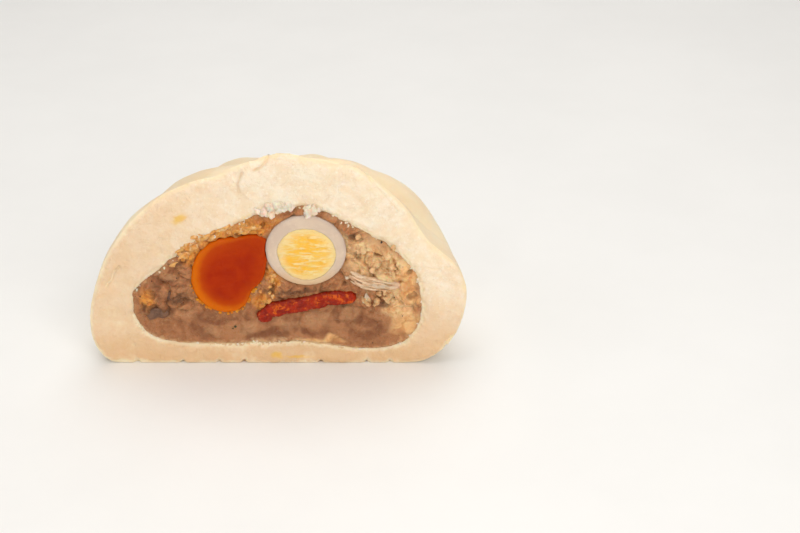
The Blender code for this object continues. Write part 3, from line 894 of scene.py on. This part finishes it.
def build_pork():
    pork = filling_body("minced_pork", grow=0.25 * MM)
    for name, place, outline, depth in (("egg_bed", EGG_PLACE, egg_outline, EGG_DEPTH),
                                        ("salted_bed", SALTED_PLACE, salted_outline, SALTED_DEPTH)):
        carve(pork, lump(name, place, outline, depth, grow=-0.2 * MM, snout=5 * MM))
    even_out(pork, PORK_GRAIN, passes=2)
    front = CUT_Y + 1.6 * MM
    refine(pork, lambda middle, normal: middle.y < front)
    store(pork, "painted_crease_shade", lambda co, n: pork_height(co)[1] if co.y < CUT_Y + 2.5 * MM else 0.0)
    shape(pork, raise_meat)
    store(pork, "rim", pork_rim)
    store(pork, "tan", lambda co, n: in_patches(co, TAN_PATCHES))
    store(pork, "light", lambda co, n: in_patches(co, LIGHT_PATCHES, 3.4 * MM, 5 * MM))
    store(pork, "mauve", lambda co, n: in_patches(co, MAUVE_PATCHES))
    store(pork, "pale", lambda co, n: in_patches(co, PALE_PATCHES, 1.6 * MM, 2.6 * MM))
    store(pork, "dark", lambda co, n: in_patches(co, DARK_MEAT_AND_SHADE_PATCHES, 0.9 * MM, 1.8 * MM))
    store(pork, "amber", lambda co, n: in_patches(co, AMBER_PATCHES, 2.6 * MM, 4.5 * MM))
    return finished(pork, pork_finish(), "pork_filling", "pork_filling")


# Eggs

EGG_GRAIN, YOLK_GRAIN, SALTED_GRAIN = 0.36 * MM, 0.30 * MM, 0.34 * MM


def at_face(co, normal):
    """1 on the front of a yolk and 0 a little way behind it."""
    return ahead_of(co, 0.0, 1.5 * MM)


def build_egg():
    white = lump("quail_white", EGG_PLACE, egg_outline, EGG_DEPTH, crown=0.6 * MM)
    carve(white, lump("yolk_bed", YOLK_PLACE, yolk_outline, YOLK_DEPTH, snout=6 * MM))
    even_out(white, EGG_GRAIN, passes=4)
    relief(white, WHOLE, "CLOUDS", 5 * MM, 0.12 * MM)
    store(white, "low", lambda co, n: 1 - eased(co.z, 29 * MM, 35 * MM))
    store(white, "rim", lambda co, n: eased(outside(co, EGG_PLACE, egg_outline), -1.4 * MM, -0.1 * MM))
    finished(white, egg_white_finish(), "egg_white", "quail_egg_white")

    yolk = lump("quail_yolk", YOLK_PLACE, yolk_outline, YOLK_DEPTH, crown=0.62 * MM, grow=0.2 * MM)
    even_out(yolk, YOLK_GRAIN, passes=3)
    weigh(yolk, "front", at_face)
    relief(yolk, "front", "CLOUDS", 1.3 * MM, 0.30 * MM, noise_depth=3)
    relief(yolk, "front", "CLOUDS", 0.5 * MM, 0.12 * MM)

    def rim(co, n):
        angle, distance = from_middle(co, YOLK_PLACE)
        return eased(distance / yolk_outline(angle), 0.62, 1.0)

    store(yolk, "rim", rim)
    finished(yolk, egg_yolk_finish(), "egg_yolk", "quail_egg_yolk")


def build_salted_yolk():
    yolk = lump("salted_yolk", SALTED_PLACE, salted_outline, SALTED_DEPTH, crown=0.5 * MM)
    carve(yolk, lump("egg_side", EGG_PLACE, egg_outline, EGG_DEPTH, grow=0.1 * MM, snout=6 * MM))
    even_out(yolk, SALTED_GRAIN, passes=5)
    weigh(yolk, "front", at_face)
    relief(yolk, "front", "CLOUDS", 4.5 * MM, 0.5 * MM)
    relief(yolk, "front", "CLOUDS", 1.1 * MM, 0.07 * MM, noise_depth=2)

    def towards_rim(co):
        """How far out a place lies, and how much it lies to the lower left."""
        angle, distance = from_middle(co, SALTED_PLACE)
        lean = 0.5 + 0.5 * math.cos(angle - math.radians(205))
        return distance / salted_outline(angle) + 0.02 * noise.noise(co / (2 * MM)), lean

    def rim(co, n):
        share, lean = towards_rim(co)
        return eased(share, 0.92 - 0.24 * lean, 0.99 - 0.10 * lean) * (0.15 + 0.85 * lean)

    def ring(co, n):
        share, lean = towards_rim(co)
        return eased(share, 0.45, 0.9) * (0.25 + 0.75 * lean)

    store(yolk, "rim", rim)
    store(yolk, "ring", ring)
    return finished(yolk, salted_yolk_finish(), "salted_yolk", "salted_egg_yolk")


# Meats

STRIP_GRAIN = 0.3 * MM
SHRED_LINE = ((21.5, 32.4), (24.5, 30.2), (28.5, 28.9), (32.5, 28.2), (36.8, 27.9))
FIBRES = 24
MUSHROOMS = (  # line on the cut face and thickness in millimetres
    (((-39.2, 17.0), (-36.0, 18.4), (-32.4, 18.0)), 3.4),
    (((-32.8, 23.4), (-29.6, 25.0), (-26.4, 25.2)), 2.8),
)


def strip_body(name, line, thick, depth, proud):
    """A flat strip of meat that follows a line on the cut face, with uneven sides."""
    points = [Vector(p) * MM for p in line]

    def to(turn, down):
        share = 0.5 - 0.5 * math.cos(down)
        at = share * (len(points) - 1)
        k = min(len(points) - 2, int(at))
        a, b = points[max(0, k - 1)], points[k]
        c, d = points[k + 1], points[min(len(points) - 1, k + 2)]
        t = at - k
        square, cube = 2 * a - 5 * b + 4 * c - d, 3 * b - a - 3 * c + d
        middle = b + 0.5 * ((c - a) * t + square * t ** 2 + cube * t ** 3)
        across = Vector((-(c - b).y, (c - b).x)).normalized()
        end = max(0.0, 1 - abs(2 * share - 1) ** 6) ** 0.5
        uneven = 1 + 0.22 * noise.noise(Vector((share * 9, 0.3, 5.0)))
        up, into = math.cos(turn), math.sin(turn)
        spot = middle + across * math.copysign(abs(up) ** 0.75, up) * thick * MM / 2 * uneven * end
        deep = math.copysign(abs(into) ** 0.6, into) * (depth if into > 0 else proud) * MM
        return Vector((spot.x, CUT_Y + deep * min(1.0, end * 1.5), spot.y))

    return moulded(name, 28, 60, to)


def build_sausage():
    sausage = strip_body("sausage_strip", SAUSAGE_LINE, 4.7, 8.0, 1.2)
    even_out(sausage, STRIP_GRAIN, passes=2)
    relief(sausage, WHOLE, "CLOUDS", 2.6 * MM, 1.1 * MM, noise_depth=1)
    relief(sausage, WHOLE, "CLOUDS", 0.9 * MM, 0.16 * MM)
    store(sausage, "edge", lambda co, n: eased(from_sausage(co), 1.3 * MM, 2.4 * MM))
    return finished(sausage, sausage_finish(), "sausage", "red_sausage")


def strand(name, line, thick, draw, bow):
    """One tapered fibre along a line on the cut face."""
    points = [Vector((x * MM, CUT_Y - bow * MM, z * MM)) for x, z in line]
    bpy.ops.curve.primitive_nurbs_path_add(radius=1.0)
    curve = bpy.context.object
    curve.data.splines.clear()
    spline = curve.data.splines.new("NURBS")
    spline.points.add(len(points) - 1)
    for i, point in enumerate(points):
        share = i / (len(points) - 1)
        sway = Vector((draw.uniform(-0.35, 0.35), draw.uniform(-0.25, 0.25), draw.uniform(-0.35, 0.35))) * MM
        spline.points[i].co = (*(point + sway), 1.0)
        taper = 0.25 + 0.75 * math.sin(math.pi * min(1.0, share + 0.08))
        spline.points[i].radius = taper * draw.uniform(0.75, 1.2)
    spline.order_u = 4
    spline.use_endpoint_u = True
    curve.data.bevel_depth = thick / 2 * MM
    curve.data.bevel_resolution = 2
    curve.data.resolution_u = 6
    curve.data.use_fill_caps = True
    take(curve)
    bpy.ops.object.convert(target="MESH")
    return name_piece(bpy.context.object, name)


def fibre_point(share, shift):
    """A point at this share of the shred's line, shifted up by less towards its thin end."""
    at = share * (len(SHRED_LINE) - 1)
    k = min(len(SHRED_LINE) - 2, int(at))
    a, b = SHRED_LINE[k], SHRED_LINE[k + 1]
    t = at - k
    return a[0] + (b[0] - a[0]) * t, a[1] + (b[1] - a[1]) * t + shift * (1 - 0.4 * share)


def build_shred():
    draw = random.Random(11)
    strands = []
    for i in range(FIBRES):
        low, high = sorted((draw.uniform(0, 0.35), draw.uniform(0.6, 1.0)))
        shift = draw.uniform(-2.2, 2.0)
        path = [fibre_point(low + (high - low) * k / 5, shift) for k in range(6)]
        strands.append(strand(f"fibre_{i}", path, draw.uniform(0.7, 1.6), draw, draw.uniform(0.2, 1.3)))
    core = strip_body("shred_core", SHRED_LINE, 2.8, 6.0, 0.5)
    even_out(core, STRIP_GRAIN, passes=1)
    shred = join([core] + strands, "pork_shred_fibres")
    return finished(shred, shred_finish(), "shred", "pork_shred")


def build_mushrooms():
    for number, (line, thick) in enumerate(MUSHROOMS, start=1):
        piece = strip_body(f"mushroom_{number}", line, thick, 4.0, 0.1)
        even_out(piece, STRIP_GRAIN, passes=2)
        relief(piece, WHOLE, "CLOUDS", 2.2 * MM, 1.1 * MM, noise_depth=1)
        finished(piece, mushroom_finish(), "mushroom", f"mushroom_strip_{number}")


# Crumbs, bits of meat and flecks

# Ovals that hold scattered bits, measured as the meat's patches are
FLAKES = ((-1.2, 53.0, 3.6, 2.2, 12), (2.4, 54.0, 3.0, 1.4, 8), (11.0, 52.4, 2.4, 0.7, -8))
LOOSE_MEAT = ((26.0, 40.5, 6.5, 4.0, -20), (33.0, 33.0, 5.5, 5.0, 0), (31.0, 24.0, 6.0, 3.0, 0))
YOLK_STRANDS = ((-18.5, 43.9, 7.0, 1.8, 24), (-8.0, 46.6, 6.0, 2.0, 12), (-25.5, 39.5, 4.0, 1.6, 40))
YOLK_BITS = ((-1.2, 29.0, 1.3, 5.0, -8), (-4.0, 22.5, 2.0, 2.5, 0))
# Single bits: X, Z and size in millimetres
FAT = ((27.0, 23.8, 2.4), (26.0, 22.6, 1.5), (21.0, 30.6, 1.6))
HERBS = ((-12.8, 13.4, 1.0), (-13.6, 12.6, 0.7), (35.2, 23.9, 0.9), (36.0, 23.2, 0.6), (-3.4, 45.6, 0.6))
PEPPERS = (
    (31.2, 42.2, 0.85), (28.4, 7.6, 0.8), (33.8, 28.4, 0.5), (-40.2, 24.6, 0.7), (-24.6, 10.0, 0.45),
    (8.6, 26.8, 0.5), (24.0, 36.8, 0.5), (-29.0, 30.8, 0.5), (37.4, 17.0, 0.45), (-36.4, 29.6, 0.5),
)


def pebbles(draw, count, rough=0.55):
    """A few uneven lumps to copy from."""
    made = []
    for i in range(count):
        bpy.ops.object.select_all(action="DESELECT")
        bpy.ops.mesh.primitive_ico_sphere_add(subdivisions=3, radius=1.0)
        piece = bpy.context.object
        seed = Vector((draw.uniform(0, 90), draw.uniform(0, 90), draw.uniform(0, 90)))
        squash = Vector((1.0, draw.uniform(0.6, 0.9), draw.uniform(0.55, 0.9)))
        for v in piece.data.vertices:
            v.co *= 1 + rough * noise.fractal(v.co * 1.1 + seed, 0.9, 2.0, 3)
            v.co = Vector((v.co.x * squash.x, v.co.y * squash.y, v.co.z * squash.z))
        made.append(piece)
    return made


def scatter(name, models, spots, draw, stretch=1.0, tilt=None):
    """Copies of the models at spots of (X, Y, Z, size) as one piece, drawn out along a tilt if given."""
    copies = []
    for x, y, z, size in spots:
        model = draw.choice(models)
        copy = model.copy()
        copy.data = model.data.copy()
        bpy.context.scene.collection.objects.link(copy)
        copy.location = Vector((x, y, z))
        copy.rotation_euler = Euler([draw.uniform(0, TURN) for _ in range(3)])
        if tilt is not None:
            slope = math.radians(draw.gauss(tilt, 16))
            copy.rotation_euler = Euler((draw.uniform(0, TURN), -slope, draw.gauss(0, 0.15)))
        copy.scale = Vector((stretch * draw.uniform(0.8, 1.2), 1, 1)) * size / 2
        copies.append(copy)
    take(*copies)
    bpy.ops.object.transform_apply(location=True, rotation=True, scale=True)
    return join(copies, name)


def face_at(pieces, x, z):
    """The Y of the first surface behind the cut at (X, Z)."""
    start = Vector((x, CUT_Y - 10 * MM, z))
    hits = [piece.ray_cast(start, Vector((0, 1, 0)), distance=30 * MM) for piece in pieces]
    return min((place.y for hit, place, normal, index in hits if hit), default=CUT_Y + 1 * MM)


def clear_of_eggs(x, z, grow):
    """Whether a bit that reaches this far round a place touches neither egg."""
    co = Vector((x, 0, z))
    return (outside(co, EGG_PLACE, egg_outline) > grow and outside(co, SALTED_PLACE, salted_outline) > grow)


def build_bits(face):
    """Crumbs, bits and flecks, each half sunk in the face of the dough and the meat."""
    draw = random.Random(5)
    rough = pebbles(draw, 6)
    soft = pebbles(draw, 5, 0.28)
    bpy.context.view_layer.update()

    def laid(spots):
        """Single bits at their own places."""
        return [(x * MM, face_at(face, x * MM, z * MM) + 0.1 * MM, z * MM, size * MM) for x, z, size in spots]

    def around(patches, count, low, high, sunk=0.0):
        """Bits scattered in ovals, clear of the eggs, and sunk further by a share of their size."""
        spots = []
        while len(spots) < count:
            px, pz, rx, rz, tilt = draw.choice(patches)
            u, w = draw.gauss(0, 0.5), draw.gauss(0, 0.5)
            c, s = math.cos(math.radians(tilt)), math.sin(math.radians(tilt))
            x, z = (px + u * rx * c - w * rz * s) * MM, (pz + u * rx * s + w * rz * c) * MM
            size = draw.uniform(low, high) * MM
            if clear_of_eggs(x, z, size * 0.45):
                spots.append((x, face_at(face, x, z) + (draw.uniform(-0.25, 0.05) + sunk) * size, z, size))
        return spots

    def along(place, outline, start, end, count, off, low, high, behind=0.0):
        """Bits along an outline from one angle to another, up to off millimetres outside it."""
        spots = []
        for _ in range(count):
            angle = math.radians(draw.uniform(start, end))
            radius = outline(angle) + draw.uniform(*off) * MM
            x, z = place[0] + radius * math.cos(angle), place[1] + radius * math.sin(angle)
            spots.append((x, face_at(face, x, z) + behind, z, draw.uniform(low, high) * MM))
        return spots

    def lay(name, finish, slot, spots, models=rough, **run):
        finished(scatter(name, models, spots, draw, **run), finish, slot)

    flakes = around(FLAKES, 34, 1.2, 3.1, 0.1)
    flakes += along(FILLING_PLACE, ragged_outline, 0, 360, 90, (-0.3, 0.7), 0.35, 1.0, 0.1 * MM)
    lay("dough_crumbs", crumb_finish(), "dough", flakes)
    lay("meat_bits", bits_finish(), "pork_filling", around(LOOSE_MEAT, 40, 1.0, 2.6))
    strands = around(YOLK_STRANDS, 46, 1.2, 2.3, 0.22)
    lay("yolk_strands", tan_finish(), "pork_filling", strands, soft, stretch=2.0, tilt=20)
    lay("yolk_bits", tan_finish(), "pork_filling", around(YOLK_BITS, 24, 0.7, 1.7))
    orange = along(SALTED_PLACE, salted_outline, 170, 345, 34, (0.0, 0.6), 0.5, 1.3)
    lay("orange_crumbs", orange_finish(), "salted_yolk", orange)
    lay("fat_bits", fat_finish(), "pork_filling", laid(FAT))
    herb = fleck_finish("chopped_herb", (0.018, 0.028, 0.008), (0.05, 0.06, 0.015))
    lay("herb_flecks", herb, "pork_filling", laid(HERBS))
    pepper = fleck_finish("pepper", (0.012, 0.006, 0.004), (0.05, 0.025, 0.015))
    lay("pepper_flecks", pepper, "pork_filling", laid(PEPPERS))
    for model in rough + soft:
        bpy.data.objects.remove(model)


def crumb_finish():
    f = Finish("dough_crumbs", 0.8, subsurface_weight=0.35, subsurface_scale=1.2 * MM, specular_ior_level=0.3)
    colour = f.mix(f.patchy(2.2, 0.35, 0.65), (0.95, 0.80, 0.66), (0.88, 0.66, 0.48))
    f.bump(f.patchy(0.4, 0.2, 0.8), 0.12)
    return f.done(colour)


def bits_finish():
    f = Finish("pork_bits", 0.38, subsurface_weight=0.3, subsurface_scale=1.0 * MM,
               subsurface_radius=(1.0, 0.42, 0.22), specular_ior_level=0.3)
    colour = f.mix(f.patchy(3.0, 0.38, 0.62, 0.8), (0.90, 0.58, 0.30), (0.62, 0.33, 0.14))
    colour = f.mix(f.times(f.patchy(1.3, 0.52, 0.66), 0.7), colour, (0.84, 0.56, 0.30))
    f.bump(f.patchy(0.5, 0.2, 0.8), 0.2)
    return f.done(colour)


def tan_finish():
    f = Finish("fried_bits", 0.36, subsurface_weight=0.3, subsurface_scale=1.0 * MM,
               subsurface_radius=(1.0, 0.45, 0.15), specular_ior_level=0.3)
    colour = f.mix(f.patchy(2.4, 0.38, 0.62, 0.8), (0.88, 0.45, 0.14), (0.70, 0.27, 0.05))
    colour = f.mix(f.times(f.patchy(1.2, 0.50, 0.64), 0.75), colour, (0.93, 0.64, 0.36))
    f.bump(f.patchy(0.5, 0.2, 0.8), 0.2)
    return f.done(colour)


def orange_finish():
    f = Finish("yolk_crumbs", 0.4, subsurface_weight=0.3, subsurface_scale=1.0 * MM,
               subsurface_radius=(1.0, 0.3, 0.05), specular_ior_level=0.2)
    f.bump(f.patchy(0.5, 0.2, 0.8), 0.15)
    return f.done(f.mix(f.patchy(1.8, 0.35, 0.65), (0.70, 0.20, 0.008), (0.80, 0.34, 0.03)))


def fat_finish():
    f = Finish("white_fat", 0.35, subsurface_weight=0.5, subsurface_scale=1.5 * MM, specular_ior_level=0.6)
    f.bump(f.patchy(0.6, 0.2, 0.8), 0.1)
    return f.done(f.mix(f.patchy(1.2, 0.35, 0.65), (0.80, 0.62, 0.46), (0.70, 0.50, 0.34)))


# Floor, light and camera

LAMPS = (  # place, aim and width in metres, and power in watts
    ((0.26, -0.55, 0.45), (0, 0, 0.03), 0.45, 2.35),
    ((-0.55, -0.30, 0.40), (0, 0, 0.03), 0.5, 0.55),
    ((0.1, 0.5, 0.5), (0, 0, 0.04), 0.5, 0.6),
    ((0.0, 0.10, 0.80), (0, 0.05, 0), 0.7, 3.8),
    ((-0.12, -0.60, 0.10), (0, 0, 0.03), 0.06, 0.45),
)
LAMP_COLOUR = (1.0, 0.97, 0.93)
SKY_COLOUR, SKY_STRENGTH = (1.0, 0.985, 0.965, 1), 0.29
FLOOR_WIDTH = 4.0


def build_stage():
    bpy.ops.object.select_all(action="DESELECT")
    bpy.ops.mesh.primitive_plane_add(size=FLOOR_WIDTH)
    floor = name_piece(bpy.context.object, "floor")
    f = Finish("pale_floor", 0.7)
    floor.data.materials.append(f.done(f.mix(f.patchy(60, 0.3, 0.7), (0.86, 0.86, 0.85), (0.84, 0.84, 0.83))))

    world = bpy.data.worlds.new("studio")
    bpy.context.scene.world = world
    world.use_nodes = True
    sky = world.node_tree.nodes["Background"]
    sky.inputs["Color"].default_value = SKY_COLOUR
    sky.inputs["Strength"].default_value = SKY_STRENGTH
    for place, aim, size, power in LAMPS:
        bpy.ops.object.light_add(type="AREA", location=place)
        lamp = bpy.context.object
        lamp.data.energy = power
        lamp.data.size = size
        lamp.data.color = LAMP_COLOUR
        lamp.rotation_euler = (Vector(aim) - Vector(place)).to_track_quat("-Z", "Y").to_euler()

    view = bpy.data.cameras.new("photo_camera")
    camera = bpy.data.objects.new("photo_camera", view)
    bpy.context.scene.collection.objects.link(camera)
    view.lens, view.sensor_width, view.clip_start = CAMERA_LENS, CAMERA_SENSOR, 0.01
    camera.location = CAMERA_PLACE
    camera.rotation_euler = (math.pi / 2 - CAMERA_PITCH, 0, 0)
    bpy.context.scene.camera = camera
    bpy.context.scene.view_settings.view_transform = "Standard"


def main():
    build_stage()
    dough = build_dough()
    pork = build_pork()
    build_egg()
    build_salted_yolk()
    build_sausage()
    build_shred()
    build_mushrooms()
    build_bits((dough, pork))


main()
